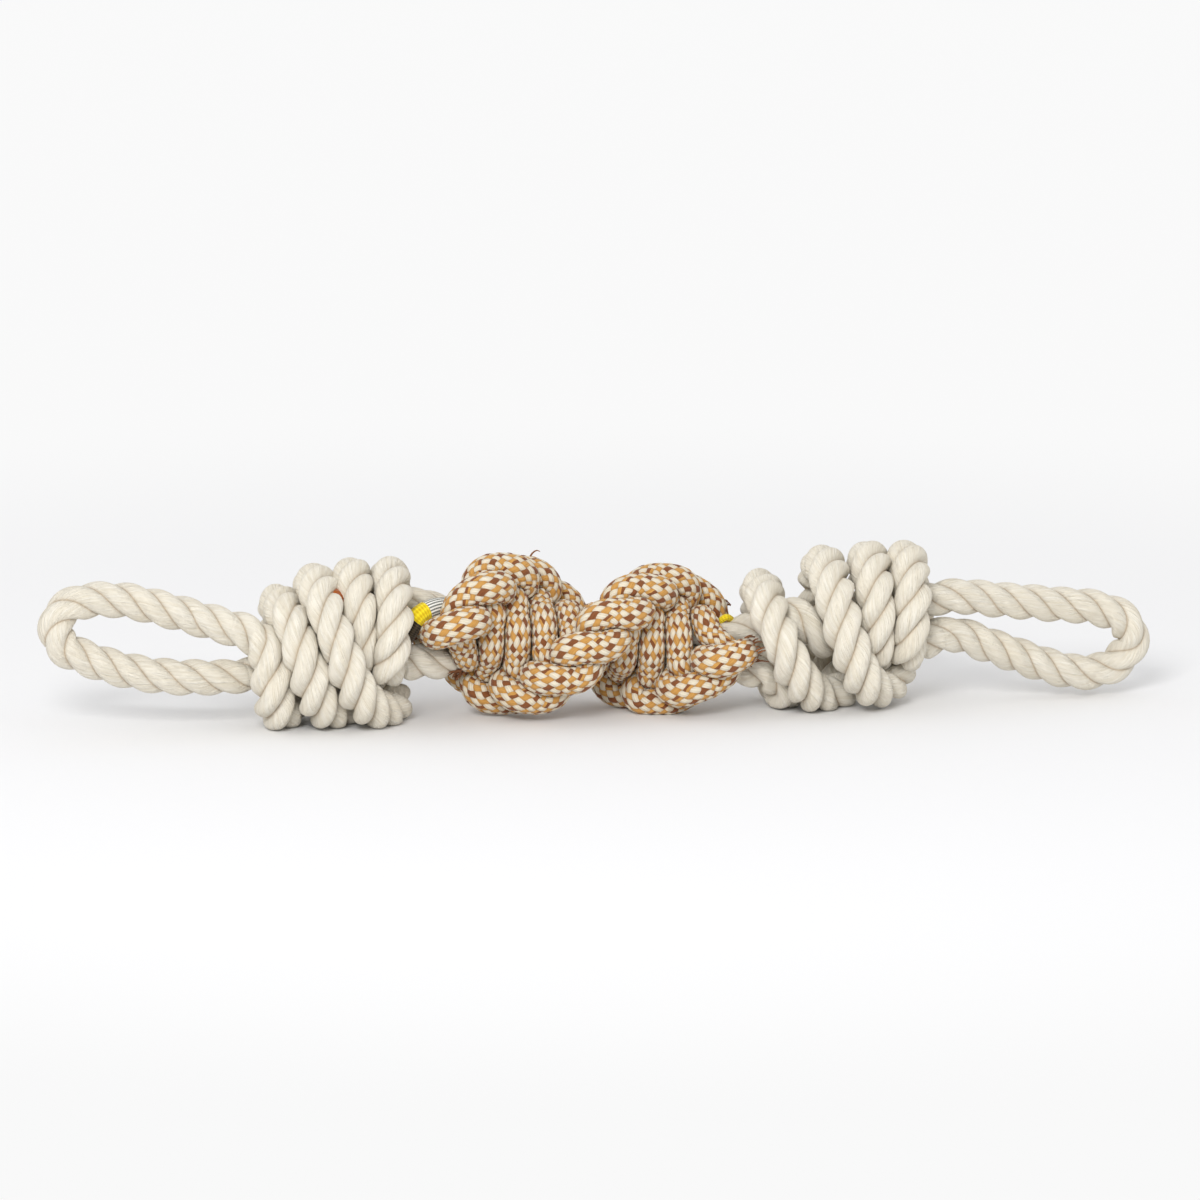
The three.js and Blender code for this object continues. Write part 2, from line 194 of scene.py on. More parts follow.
# %% The routes of the hand loops and the windings
left_loop_places = [
    [-172, -4, 48.4], [-188, -3, 53.2], [-203, -1, 56.8], [-216, 0, 57.6], [-226.4, 0, 56], [-232.6, 0, 51.2],
    [-234, 0, 44.2], [-230.8, 0, 37.2], [-223, 0, 33], [-208, -1, 27.6], [-190, -3, 24], [-172, -4, 22.8],
]
right_loop_places = [
    [160, -4, 30.2], [174.9, -3, 24.6], [188.1, -1, 19.3], [202.3, 0, 14], [216.6, 0, 10.8],
    [230.6, 0, 13.4], [239.2, 0, 24.2], [234.8, 0, 34], [221.8, 0, 39.4], [205.7, 0, 41.3], [192.5, -1, 43],
    [179.3, -2, 44.6], [160, -4, 47.2],
]
left_winding_rows = [
    [128, -1.05, 0.44], [104, -0.895, 0.52], [82, -0.85, 0.63], [55, -0.835, 0.81],
    [25, -0.75, 0.96], [0, -0.6, 1], [-45, -0.56, 1], [-90, -0.56, 0.95],
    [-135, -0.60, 0.76], [-180, -0.63, 0.56], [-225, -0.59, 0.72], [-270, -0.475, 0.93],
    [-305, -0.335, 1], [-335, -0.13, 1], [-360, 0.09, 1], [-405, 0.02, 1],
    [-450, -0.09, 1], [-495, -0.165, 0.98], [-540, -0.215, 0.92], [-585, -0.205, 1],
    [-630, -0.02, 1.05], [-665, 0.2, 1.07], [-695, 0.48, 1.03], [-720, 0.68, 1],
    [-765, 0.69, 1], [-810, 0.46, 1], [-855, 0.3, 1], [-900, 0.235, 1],
    [-945, 0.225, 0.94], [-990, 0.3, 0.71], [-1020, 0.345, 0.5], [-1055, 0.395, 0.42],
    [-1080, 0.445, 0.4], [-1125, 0.59, 0.44], [-1170, 0.82, 0.64], [-1215, 0.76, 0.9],
    [-1260, 0.665, 1], [-1305, 0.62, 0.98], [-1340, 0.56, 0.9], [-1362, 0.51, 0.76],
    [-1376, 0.55, 0.6], [-1380, 0.68, 0.42],
]
right_winding_rows = [
    [30, -1.1, 0.54], [32, -0.8, 0.64], [22, -0.64, 0.82], [0, -0.57, 0.96],
    [-40, -0.61, 1], [-90, -0.7, 0.94], [-135, -0.79, 0.74], [-180, -0.83, 0.53],
    [-225, -0.86, 0.68], [-270, -0.77, 0.93], [-305, -0.53, 1], [-335, -0.26, 1],
    [-360, 0.07, 1], [-405, 0.05, 1], [-450, 0, 1], [-495, -0.04, 0.98],
    [-540, -0.075, 0.95], [-585, -0.085, 1], [-630, 0.035, 1.05], [-665, 0.255, 1.07],
    [-695, 0.535, 0.94], [-720, 0.77, 0.76], [-765, 0.85, 0.8], [-810, 0.72, 0.98],
    [-855, 0.56, 1], [-900, 0.465, 1], [-945, 0.44, 0.95], [-990, 0.465, 0.74],
    [-1025, 0.49, 0.53], [-1055, 0.53, 0.44], [-1080, 0.575, 0.42], [-1125, 0.77, 0.38],
    [-1170, 1.08, 0.53], [-1215, 1.03, 0.84], [-1260, 0.92, 1], [-1305, 0.87, 0.92],
    [-1350, 0.82, 0.74], [-1385, 0.84, 0.54], [-1390, 0.98, 0.36], [-1385, 1.18, 0.28],
]


def winding_places(rows, knot_x):
    return [around(knot_x + along * knot_half_length, out * knot_path_radius, angle) for angle, along, out in rows]


def leg_places(rows, knot_x):
    return [
        [knot_x + along * knot_half_length, across * knot_half_length, axis_height + up * knot_half_length]
        for along, across, up in rows
    ]


left_winding = winding_places(left_winding_rows, left_knot_x)
right_winding = winding_places(right_winding_rows, right_knot_x)
left_leg = leg_places([[-1.1, -0.09, -0.31], [-0.7, -0.03, -0.22], [-0.2, 0, 0.05], [0.3, 0, 0.2]], left_knot_x)
right_leg = leg_places([[1.15, -0.08, 0.33], [0.8, -0.03, 0.3], [0.3, 0, 0.22], [-0.3, 0, 0.08]], right_knot_x)
print("places:", len(left_winding), "in the left winding,", len(right_winding), "in the right one")

# %% [markdown]
# ## The checked cord's route
# One cord is folded in half at the left. Its two halves tie the same half knot again and again, and because
# it is always the same half knot, the knots turn round the core and make a spiral with two ridges.
# One half knot is written down once, and every other is that one, turned and moved along.

# %% The route of the checked cord
half_knot_rows = [
    [0.21, 0.442, 64], [0.19, 0.406, 108], [0.31, 0.504, 112], [-0.14, 0.775, 150],
    [-0.25, 0.74, 160], [0.12, 0.988, 158], [0.63, 1, 146], [1.2, 1, 120],
    [1.74, 0.915, 115], [1.59, 0.725, 134], [1.19, 0.45, 173], [1.26, 0.462, 229],
]
shown_tail_rows = [[1.25, 0.94, 132], [1.6, 0.88, 128], [1.74, 0.82, 123]]
hidden_tail_rows = [[0.95, 0.88, 130], [1.12, 0.8, 122]]
fold_row = [-0.88, 0.42, 92]
rows_left_out_at_fold, rows_before_tail = 4, 7


def half_knot_place(row, half_knot, other_half):
    along, out, angle = row
    turned = angle + 180 * (half_knot + other_half) + twist_each_half_knot * (along + half_knot)
    return around(spiral_start_x + (along + half_knot) * half_knot_pitch, out * ridge_path_radius,
                  turned + spiral_start_angle)


def half_of_cord(other_half):
    rows = [] if other_half else [(half_knot_rows[-1], -2)]
    rows += [(row, -1) for row in half_knot_rows[rows_left_out_at_fold if other_half else 0:]]
    for half_knot in range(half_knots - 1):
        rows += [(row, half_knot) for row in half_knot_rows]
    tail = shown_tail_rows if other_half else hidden_tail_rows
    rows += [(row, half_knots - 1) for row in half_knot_rows[:rows_before_tail] + tail]
    return [half_knot_place(row, half_knot, other_half) for row, half_knot in rows]


fold_place = around(spiral_start_x + fold_row[0] * half_knot_pitch, fold_row[1] * ridge_path_radius, fold_row[2])
checked_places = half_of_cord(0)[::-1] + [fold_place] + half_of_cord(1)
print("places in the checked cord:", len(checked_places))

# %% [markdown]
# A cord that is pulled tight doesn't keep the corners of such a plan. It straightens where it can, until it
# lies against its neighbours and the core. So the line is settled in small rounds: each place moves towards
# the middle of the places beside it, and any two turns that come too close push each other apart.

# %% Settle the checked cord
bar_radius, ridge_radius = 9.8, 29.4
planned_bar_radius, planned_ridge_radius = 11.5, 28.8
settle_step, settle_rounds, turn_distance = 2.4, 50, 10.2
places_in_one_turn = 5
straightening, wide_straightening, hold_to_plan, push_strength = 0.35, 0.1, 0.02, 1.2
lowest_middle = 5.6


def from_axis(line):
    return np.hypot(line[:, 1], line[:, 2] - axis_height)


def scaled_from_axis(line, scale):
    return np.column_stack([line[:, 0], line[:, 1] * scale, axis_height + (line[:, 2] - axis_height) * scale])


def settled(line, rounds):
    plan = line.copy()
    place = np.arange(len(line))
    another_turn = np.abs(place[:, None] - place[None]) > places_in_one_turn
    for _ in range(rounds):
        line[1:-1] += straightening * ((line[:-2] + line[2:]) / 2 - line[1:-1])
        line[3:-3] += wide_straightening * ((line[:-6] + line[6:]) / 2 - line[3:-3])
        line += hold_to_plan * (plan - line)
        between = line[:, None] - line[None]
        distance = np.sqrt((between ** 2).sum(axis=2)) + 1e-9
        too_close = another_turn & (distance < turn_distance)
        push = np.where(too_close, (turn_distance - distance) / 2 / distance, 0)
        neighbours = np.sqrt(np.maximum(too_close.sum(axis=1), 1))
        line += push_strength * np.einsum("ij,ijk->ik", push, between) / neighbours[:, None]
        line = scaled_from_axis(line, np.maximum(bar_radius / np.maximum(from_axis(line), 1e-6), 1))
    return line


planned, _, _ = smooth_line(checked_places, np.ones(len(checked_places)), settle_step)
planned_out = from_axis(planned)
tightened_out = np.interp(planned_out, [planned_bar_radius, planned_ridge_radius], [bar_radius, ridge_radius])
planned = scaled_from_axis(planned, tightened_out / planned_out)
checked_line = settled(planned, settle_rounds)
out_of_axis = from_axis(checked_line)
checked_line = with_lowered_top(with_lifted_end(with_hanging_nose(np.array(sloped(checked_line.tolist())))))
checked_line[:, 2] = np.maximum(checked_line[:, 2], lowest_middle)
print("settled:", round(float(segment_lengths(checked_line).sum())), "mm, from",
      round(float(out_of_axis.min()), 1), "to", round(float(out_of_axis.max()), 1), "mm out")

# %% [markdown]
# ## Soft rope under pressure
# Tied rope isn't round: each turn presses flat against its neighbours and the floor. So the skin of a rope is
# laid out ring by ring, and each point of a ring goes outwards until it is half way to the next rope's middle,
# or reaches its full thickness. That closes the gaps between the turns without one cutting through another.

# %% Rings round a line
no_limit, tiny = 1e3, 1e-6
# The skin inside a bend may reach this share of the way to the bend's centre.
share_of_bend = 0.85
# A direction that faces a neighbour or the floor less than this isn't limited by it.
least_facing, least_down = 0.05, 0.02
limit_sharpness, least_room = 9, 0.5


def directions_along(line):
    ahead = np.gradient(line, axis=0)
    return ahead / np.linalg.norm(ahead, axis=1)[:, None]


def carried_sideways(tangents, first):
    """One sideways direction for each step, turned as little as possible from one to the next."""
    side = np.array(first, float)
    sides = []
    for tangent in tangents:
        side = side - tangent * (side @ tangent)
        side = side / np.linalg.norm(side)
        sides.append(side)
    return np.array(sides)


def even_angles(sides, steps):
    """The angles of evenly spaced ring points, the same for every step."""
    return np.repeat((2 * np.pi * np.arange(sides) / sides)[None, :], steps, axis=0)


def ring_directions(line, angles):
    """Unit directions outwards, for each step and each angle; the angles may differ from step to step."""
    tangents = directions_along(line)
    starts_upright = abs(tangents[0][2]) > 0.8
    sides = carried_sideways(tangents, (0, 1, 0) if starts_upright else (0, 0, 1))
    others = np.cross(tangents, sides)
    return np.cos(angles)[:, :, None] * sides[:, None] + np.sin(angles)[:, :, None] * others[:, None]


def room_outwards(line, arcs, outward, reach, own_reach, others):
    """How far each ring point may go before it meets another turn, another rope or the floor.

    Places on the same rope count as another turn when they are more than own_reach along it.
    """
    room = np.full(outward.shape[:2], no_limit)
    bend = np.gradient(directions_along(line), axis=0) / np.gradient(arcs)[:, None]
    inwards = np.einsum("nmk,nk->nm", outward, bend)
    room = np.where(inwards > tiny, np.minimum(room, share_of_bend / np.maximum(inwards, tiny)), room)
    points = np.vstack([line[::2]] + others)
    own = np.append(arcs[::2], np.full(sum(len(other) for other in others), np.inf))
    for i in range(len(line)):
        between = points - line[i]
        far = np.linalg.norm(between, axis=1)
        near = (far < 2 * reach) & (np.abs(own - arcs[i]) > own_reach) & (far > tiny)
        if near.any():
            facing = outward[i] @ (between[near] / far[near][:, None]).T
            half_way = np.where(facing > least_facing, far[near] / 2 / np.maximum(facing, least_facing), no_limit)
            room[i] = np.minimum(room[i], half_way.min(axis=1))
    down = -outward[:, :, 2]
    above_floor = line[:, None, 2] / np.maximum(down, least_down)
    return np.where(down > least_down, np.minimum(room, above_floor), room)


def softly_limited(wanted, room):
    room = np.maximum(room, least_room)
    return (wanted ** -limit_sharpness + room ** -limit_sharpness) ** (-1 / limit_sharpness)


def evened(radii, passes=2):
    for _ in range(passes):
        radii[1:-1] = (radii[:-2] + 2 * radii[1:-1] + radii[2:]) / 4
    return radii


# %% A tube from rings, closed at both ends, with a map of how far along and how far round
dome_rings = ((0.82, 0.35), (0.45, 0.75))


def tube_mesh(name, rings, along, around_units, dome=0.6):
    """rings is steps x sides x 3 in millimetres. The map's U is millimetres along, and V counts units round."""
    steps, sides = rings.shape[:2]
    vertices = rings.reshape(-1, 3).tolist()
    faces, uvs = [], []
    for i in range(steps - 1):
        for j in range(sides):
            k = (j + 1) % sides
            faces.append((i * sides + j, i * sides + k, (i + 1) * sides + k, (i + 1) * sides + j))
            low, high = j / sides * around_units, (j + 1) / sides * around_units
            uvs += [(along[i], low), (along[i], high), (along[i + 1], high), (along[i + 1], low)]
    for i, sign in ((0, -1), (steps - 1, 1)):
        middle = rings[i].mean(axis=0)
        inner = rings[i - sign].mean(axis=0)
        outwards = (middle - inner) / np.linalg.norm(middle - inner)
        size = np.linalg.norm(rings[i] - middle, axis=1).mean()
        last = list(range(i * sides, (i + 1) * sides))
        for share, lift in dome_rings:
            start = len(vertices)
            vertices += (middle + (rings[i] - middle) * share + outwards * size * dome * lift).tolist()
            new = list(range(start, start + sides))
            for j in range(sides):
                k = (j + 1) % sides
                quad = (last[j], last[k], new[k], new[j])
                faces.append(quad if sign > 0 else quad[::-1])
                uvs += [(along[i], j / sides * around_units)] * 4
            last = new
        tip = len(vertices)
        vertices.append((middle + outwards * size * dome).tolist())
        for j in range(sides):
            k = (j + 1) % sides
            faces.append((last[j], last[k], tip) if sign > 0 else (last[k], last[j], tip))
            uvs += [(along[i], j / sides * around_units)] * 3
    mesh = bpy.data.meshes.new(name)
    mesh.from_pydata((np.array(vertices) * MM).tolist(), [], faces)
    layer = mesh.uv_layers.new(name="UVMap")
    layer.data.foreach_set("uv", np.array(uvs, float).ravel())
    mesh.polygons.foreach_set("use_smooth", [True] * len(mesh.polygons))
    mesh.update()
    return add_object(name, mesh)


def keep_value(piece, name, values):
    """Stores one number for each ring point, for the materials to read; the closed ends get 1."""
    full = np.ones(len(piece.data.vertices), np.float32)
    full[:values.size] = values.ravel()
    attribute = piece.data.attributes.new(name, "FLOAT", "POINT")
    attribute.data.foreach_set("value", full)


# %% [markdown]
# ## Laid rope
# Three fat strands are twisted round each other to the right, one full turn in 38 mm. Across the rope they show
# as three lobes with a deep crease between them. The ring points are turned with the lay, so that every crease
# runs along an edge of the mesh and stays crisp, and V on the map counts strands.

# %% Rings of a laid rope along a line
rope_radius = 8.0
rope_step, rope_own_reach = 1.25, 26
rope_strands = 3
lay_length = 38.0
strand_sides = 18
slack_offset, tied_offset = 0.37, 0.46
knot_swell, core_thin = 1.17, 0.55
sides_of_rope = rope_strands * strand_sides


def strand_profile(offset):
    """The outline of three pressed strands, as a share of the rope's radius, and how deep each point lies."""
    across = np.arange(sides_of_rope) % strand_sides / strand_sides
    angle = np.radians(360 / rope_strands * (across - 0.5))
    outline = offset * np.cos(angle) + np.sqrt((1 - offset) ** 2 - (offset * np.sin(angle)) ** 2)
    hollow = (1 - outline) / (1 - outline.min())
    return outline, hollow


def laid_rope(places, sizes, lay_start, others):
    """One rope: its middle line, how far along each ring lies, the ring points, and how deep each point lies."""
    line, sizes, arcs = smooth_line(places, sizes, rope_step)
    slack_outline, hollow = strand_profile(slack_offset)
    tied_outline, _ = strand_profile(tied_offset)
    tied = np.clip((sizes - 1.0) / (knot_swell - 1.0), 0, 1)[:, None]
    outline = slack_outline * (1 - tied) + tied_outline * tied
    ring = 2 * np.pi * np.arange(sides_of_rope) / sides_of_rope
    turned = ring[None, :] + 2 * np.pi * (arcs / lay_length + lay_start)[:, None]
    outward = ring_directions(line, turned)
    wanted = rope_radius * sizes[:, None] * outline
    room = room_outwards(line, arcs, outward, rope_radius, rope_own_reach, others)
    radii = evened(softly_limited(wanted, room))
    return {"line": line, "arcs": arcs, "rings": line[:, None] + outward * radii[:, :, None], "hollow": hollow}


def rope_piece(name, rope, start, end):
    """A stretch of a rope as a piece of its own. Neighbouring stretches share their last ring."""
    rings, arcs = rope["rings"][start:end], rope["arcs"][start:end]
    piece = tube_mesh(name, rings, arcs, rope_strands)
    keep_value(piece, "hollow", np.repeat(rope["hollow"][None, :], len(rings), axis=0))
    print(name, "is", round(arcs[-1] - arcs[0]), "mm long, with", len(piece.data.polygons), "faces")
    return piece


def ring_at(rope, place):
    """The number of the ring nearest to a place on the rope's line."""
    return int(np.linalg.norm(rope["line"] - np.array(place), axis=1).argmin())


# %% [markdown]
# ## Cotton
# Cotton rope is matt and cream, with soft yarns that run along the rope; its creases are painted darker and warmer
# as shade.
# The same streaks also serve the checked braid, so they are a node group with its own inputs.

# %% Node helpers
def new_group(name, inputs, outputs):
    group = bpy.data.node_groups.new(name, "ShaderNodeTree")
    for label, default in inputs:
        socket = group.interface.new_socket(name=label, in_out="INPUT", socket_type="NodeSocketFloat")
        socket.default_value = default
    for label in outputs:
        group.interface.new_socket(name=label, in_out="OUTPUT", socket_type="NodeSocketFloat")
    return group, group.nodes.new("NodeGroupInput"), group.nodes.new("NodeGroupOutput")


def set_inputs(node, values):
    for label, value in values.items():
        node.inputs[label].default_value = value


def feed(tree, socket, value):
    """Gives a node's socket a number, or links another socket to it."""
    if isinstance(value, (int, float)):
        socket.default_value = value
    else:
        tree.links.new(value, socket)


def calc(tree, operation, first, second=None, third=None, clamp=False):
    """A Math node; each value is a number or a socket."""
    node = tree.nodes.new("ShaderNodeMath")
    node.operation = operation
    node.use_clamp = clamp
    for place, value in enumerate((first, second, third)):
        if value is not None:
            feed(tree, node.inputs[place], value)
    return node.outputs[0]


def vector_of(tree, x, y, z=0.0):
    node = tree.nodes.new("ShaderNodeCombineXYZ")
    for place, value in enumerate((x, y, z)):
        feed(tree, node.inputs[place], value)
    return node.outputs[0]


def noise(tree, vector, scale, detail=2.0, roughness=0.5):
    node = tree.nodes.new("ShaderNodeTexNoise")
    set_inputs(node, {"Scale": scale, "Detail": detail, "Roughness": roughness})
    tree.links.new(vector, node.inputs["Vector"])
    return node.outputs["Fac"]


def mixed(tree, share, first, second):
    """A colour between two, each a socket or red, green and blue from 0 to 255."""
    node = tree.nodes.new("ShaderNodeMix")
    node.data_type = "RGBA"
    feed(tree, node.inputs["Factor"], share)
    for socket, value in ((node.inputs[6], first), (node.inputs[7], second)):
        if isinstance(value, tuple):
            socket.default_value = paint(*value)
        else:
            tree.links.new(value, socket)
    return node.outputs[2]


def paint(red, green, blue):
    """A colour as a screen shows it, turned into the linear values that a shader needs."""
    linear = [(v / 255 / 12.92) if v <= 10 else ((v / 255 + 0.055) / 1.055) ** 2.4 for v in (red, green, blue)]
    return (*linear, 1.0)


def new_material(name, roughness):
    material = bpy.data.materials.new(name)
    material.use_nodes = True
    shader = material.node_tree.nodes["Principled BSDF"]
    set_inputs(shader, {
        "Roughness": roughness, "Sheen Weight": 0.15, "Sheen Roughness": 0.5, "Specular IOR Level": 0.2,
    })
    return material, material.node_tree, shader


def add_bump(tree, shader, height, distance, strength):
    bump = tree.nodes.new("ShaderNodeBump")
    set_inputs(bump, {"Distance": distance, "Strength": strength})
    tree.links.new(height, bump.inputs["Height"])
    tree.links.new(bump.outputs["Normal"], shader.inputs["Normal"])


def rope_map(tree):
    """The map's two numbers: millimetres along, and units round."""
    node = tree.nodes.new("ShaderNodeUVMap")
    node.uv_map = "UVMap"
    split = tree.nodes.new("ShaderNodeSeparateXYZ")
    tree.links.new(node.outputs["UV"], split.inputs[0])
    return split.outputs[0], split.outputs[1]


def kept_value(tree, name):
    """A number that keep_value stored, as a material reads it."""
    node = tree.nodes.new("ShaderNodeAttribute")
    node.attribute_name = name
    return node.outputs["Fac"]


def own_place(tree):
    return tree.nodes.new("ShaderNodeTexCoord").outputs["Object"]


# %% The streaks that yarns leave, as a node group
streaks, streaks_in, streaks_out = new_group(
    "yarn_streaks", [("Along", 0), ("Across", 0), ("Yarns", 12), ("Stretch", 0.09)], ["Streak", "Fuzz"])
run = calc(streaks, "MULTIPLY", streaks_in.outputs["Along"], streaks_in.outputs["Stretch"])
count = calc(streaks, "MULTIPLY", streaks_in.outputs["Across"], streaks_in.outputs["Yarns"])
coarse = noise(streaks, vector_of(streaks, run, count), 1.0, 2.0, 0.6)
fine_run = calc(streaks, "MULTIPLY", run, 3.0)
fine_count = calc(streaks, "MULTIPLY", count, 2.6)
fine = noise(streaks, vector_of(streaks, fine_run, fine_count, 4.0), 1.0, 3.0, 0.65)
streaks.links.new(calc(streaks, "MULTIPLY_ADD", coarse, 0.6, calc(streaks, "MULTIPLY", fine, 0.4)),
                  streaks_out.inputs["Streak"])
streaks.links.new(fine, streaks_out.inputs["Fuzz"])


def place_streaks(tree, along, across, yarns, stretch):
    node = tree.nodes.new("ShaderNodeGroup")
    node.node_tree = streaks
    set_inputs(node, {"Yarns": yarns, "Stretch": stretch})
    tree.links.new(along, node.inputs["Along"])
    tree.links.new(across, node.inputs["Across"])
    return node.outputs["Streak"], node.outputs["Fuzz"]


# %% The cotton of the white rope
cotton_light, cotton_mid = (243, 238, 226), (221, 211, 190)
# The last colour is painted shade, for the creases between the strands.
cotton_warm, cotton_crease_shade = (228, 214, 184), (172, 144, 106)
cotton, cotton_tree, cotton_shader = new_material("natural_cotton", 0.95)
along, strand_number = rope_map(cotton_tree)
round_the_rope = calc(cotton_tree, "MULTIPLY_ADD", along, rope_strands / lay_length, strand_number)
streak, fuzz = place_streaks(cotton_tree, along, round_the_rope, 14, 0.05)
blotch = noise(cotton_tree, own_place(cotton_tree), 45, 3.0, 0.6)
tone = calc(cotton_tree, "MULTIPLY_ADD", streak, 2.6, -0.8, clamp=True)
body_colour = mixed(cotton_tree, tone, cotton_mid, cotton_light)
warmth = calc(cotton_tree, "MULTIPLY_ADD", blotch, 2.2, -1.0, clamp=True)
body_colour = mixed(cotton_tree, calc(cotton_tree, "MULTIPLY", warmth, 0.25), body_colour, cotton_warm)
# Painted shade: the deepest parts of the creases between the strands are darkened and warmed.
crease_shade_share = calc(cotton_tree, "POWER", kept_value(cotton_tree, "hollow"), 7.0, clamp=True)
cotton_colour = mixed(cotton_tree, calc(cotton_tree, "MULTIPLY", crease_shade_share, 0.75), body_colour, cotton_crease_shade)
cotton_tree.links.new(cotton_colour, cotton_shader.inputs["Base Color"])
add_bump(cotton_tree, cotton_shader, calc(cotton_tree, "MULTIPLY_ADD", fuzz, 0.5, streak), 0.0012, 1.0)

# %% [markdown]
# ## The white rope's pieces
# On each side one rope comes out of the core, crosses the neck, runs through the knot, makes the hand loop, and
# comes back to wind the knot and cross the neck again. It is laid as one line, so the lay runs on unbroken, and
# then cut into stretches: each knot's stretches stay whole and ride on that knot, and the necks and the loops are
# pieces of their own.

# %% The rope of the left side
left_upper_neck = [
    [-6, 0, 38.4], [-30, 0, 40.4], [-46, 0, 42], [-56, 1, 44],
    [-65, 2, 47.4], [-73, 2, 50.4], [-82, 1, 51], [-91, 1, 49.4],
]
left_lower_neck = [
    [-77, -6.5, 27], [-69, -4, 26], [-61, 0.5, 27], [-52, 2, 30.4], [-42, 1, 33], [-30, 0, 32], [-6, 0, 29.8],
]
left_places = left_upper_neck + left_leg[::-1] + left_loop_places[::-1] + left_winding + left_lower_neck
left_sizes = (
    [core_thin] * 3 + [0.62, 0.75, 0.9, 0.95, 0.95] + [0.95] * len(left_leg)
    + [1.0] * len(left_loop_places) + [1.04] + [knot_swell] * (len(left_winding) - 1)
    + [1.0, 0.95, 0.9, 0.75] + [core_thin] * 3
)
left_rope = laid_rope(left_places, left_sizes, 0.2, [checked_line])
left_cut_places = (left_leg[2], left_leg[0], [-158, -6, 43], left_winding[-2])
left_cuts = [ring_at(left_rope, place) for place in left_cut_places]
print("rings:", len(left_rope["line"]), "cuts:", left_cuts)

# %% The rope of the right side
right_upper_neck = [
    [6, 0, 37.2], [30, 0, 35], [44, -1, 33.6], [54, -2.5, 33.6],
    [62, -4, 34.6], [70, -5, 37], [78, -8, 41.5], [86, -11, 42.6],
]
right_lower_neck = [[6, 0, 28.4], [30, 0, 26.4], [42, 0, 24.8], [51, -1, 23.6], [58, -2.4, 21.8]]
right_leg_inside = [[94, -13, 37], [100.5, -11, 31.4], [108.5, -5, 33.4]] + right_leg[2::-1]
right_places = (right_upper_neck + right_leg_inside + right_loop_places[::-1] + right_winding[::-1]
                + right_lower_neck[::-1])
right_sizes = (
    [core_thin] * 3 + [0.62, 0.8, 0.95, 1.0, 1.05] + [1.05] * 2 + [1.0] + [0.95] * 3
    + [1.0] * len(right_loop_places) + [1.04] + [knot_swell] * (len(right_winding) - 1)
    + [0.9, 0.75, 0.6] + [core_thin] * 2
)
right_rope = laid_rope(right_places, right_sizes, 0.55, [checked_line])
right_cut_places = ([89, -12, 40.8], right_leg[0], [152, -8, 33], right_winding[0])
right_cuts = [ring_at(right_rope, place) for place in right_cut_places]
print("rings:", len(right_rope["line"]), "cuts:", right_cuts)

# %% Cut the ropes into their stretches
rope_pieces = []


def blend_across_neck(piece):
    """A neck bends between the spiral and the knot; what crosses it only has its placement baked into its mesh."""
    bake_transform(piece)


def loop_piece(side, rope, start, end, blend_start, blend_end):
    """A hand loop is free rope; its piece is baked where it lies, and the model's loop and the leg in the knot are
    hidden.
    """
    piece = rope_piece(f"{side}_loop_rope", rope, start, end)
    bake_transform(piece)
    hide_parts(f"{side}_loop", f"{side}_leg_in_knot")
    return piece


def knot_stretch(name, side, rope, start, end, *nodes):
    piece = rope_piece(name, rope, start, end)
    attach(piece, f"{side}_knot")
    if nodes:
        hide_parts(*nodes)
    return piece


def neck_stretch(name, side, rope, start, end, *nodes):
    piece = rope_piece(name, rope, start, end)
    blend_across_neck(piece)
    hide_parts(*nodes)
    return piece


for side, rope, cuts, loop_blend in (
    ("left", left_rope, left_cuts, ((-0.166, -0.004, 0.0356), (-0.180, -0.004, 0.0356))),
    ("right", right_rope, right_cuts, ((0.154, -0.004, 0.0387), (0.168, -0.004, 0.0387))),
):
    inner, leg, winding, lower = cuts
    strands = [f"{side}_neck_strand_{letter}" for letter in "abc"]
    rope_pieces += [
        neck_stretch(f"{side}_upper_neck_rope", side, rope, 0, inner + 1, "core_rope", strands[0], strands[1]),
        knot_stretch(f"{side}_inner_rope", side, rope, inner, leg + 1),
        loop_piece(side, rope, leg, winding + 1, *loop_blend),
        knot_stretch(f"{side}_knot_rope", side, rope, winding, lower + 1, f"{side}_knot_winding"),
        neck_stretch(f"{side}_lower_neck_rope", side, rope, lower, None, strands[2]),
    ]

# %% [markdown]
# ## The checked braid
# The cord is a tubular braid: twelve white bundles of yarn wind one way and twelve coloured ones the other way,
# each over one and under one. So every bundle shows as a row of diamonds, and the diamonds bulge. The skin is
# raised by them before the colours go on, because bulges that only the shading shows look flat at the edges.

# %% Where each bundle of the braid lies on top
braid_step = 1.95
bundles_round = 24
braid_wave = 0.58


def braid_height(along, units):
    """From 0 in the gaps to 1 on top of a bundle, for places on the braid's map."""
    first, second = (along / braid_step + units) / 2, (along / braid_step - units) / 2
    first_share, second_share = first % 1, second % 1
    up = braid_wave * (1 - 2 * ((np.floor(first) + np.floor(second)) % 2))
    white = up * np.sin(np.pi * first_share) + 4 * second_share * (1 - second_share)
    coloured = -up * np.sin(np.pi * second_share) + 4 * first_share * (1 - first_share)
    return np.maximum(white, coloured) / (1 + braid_wave)


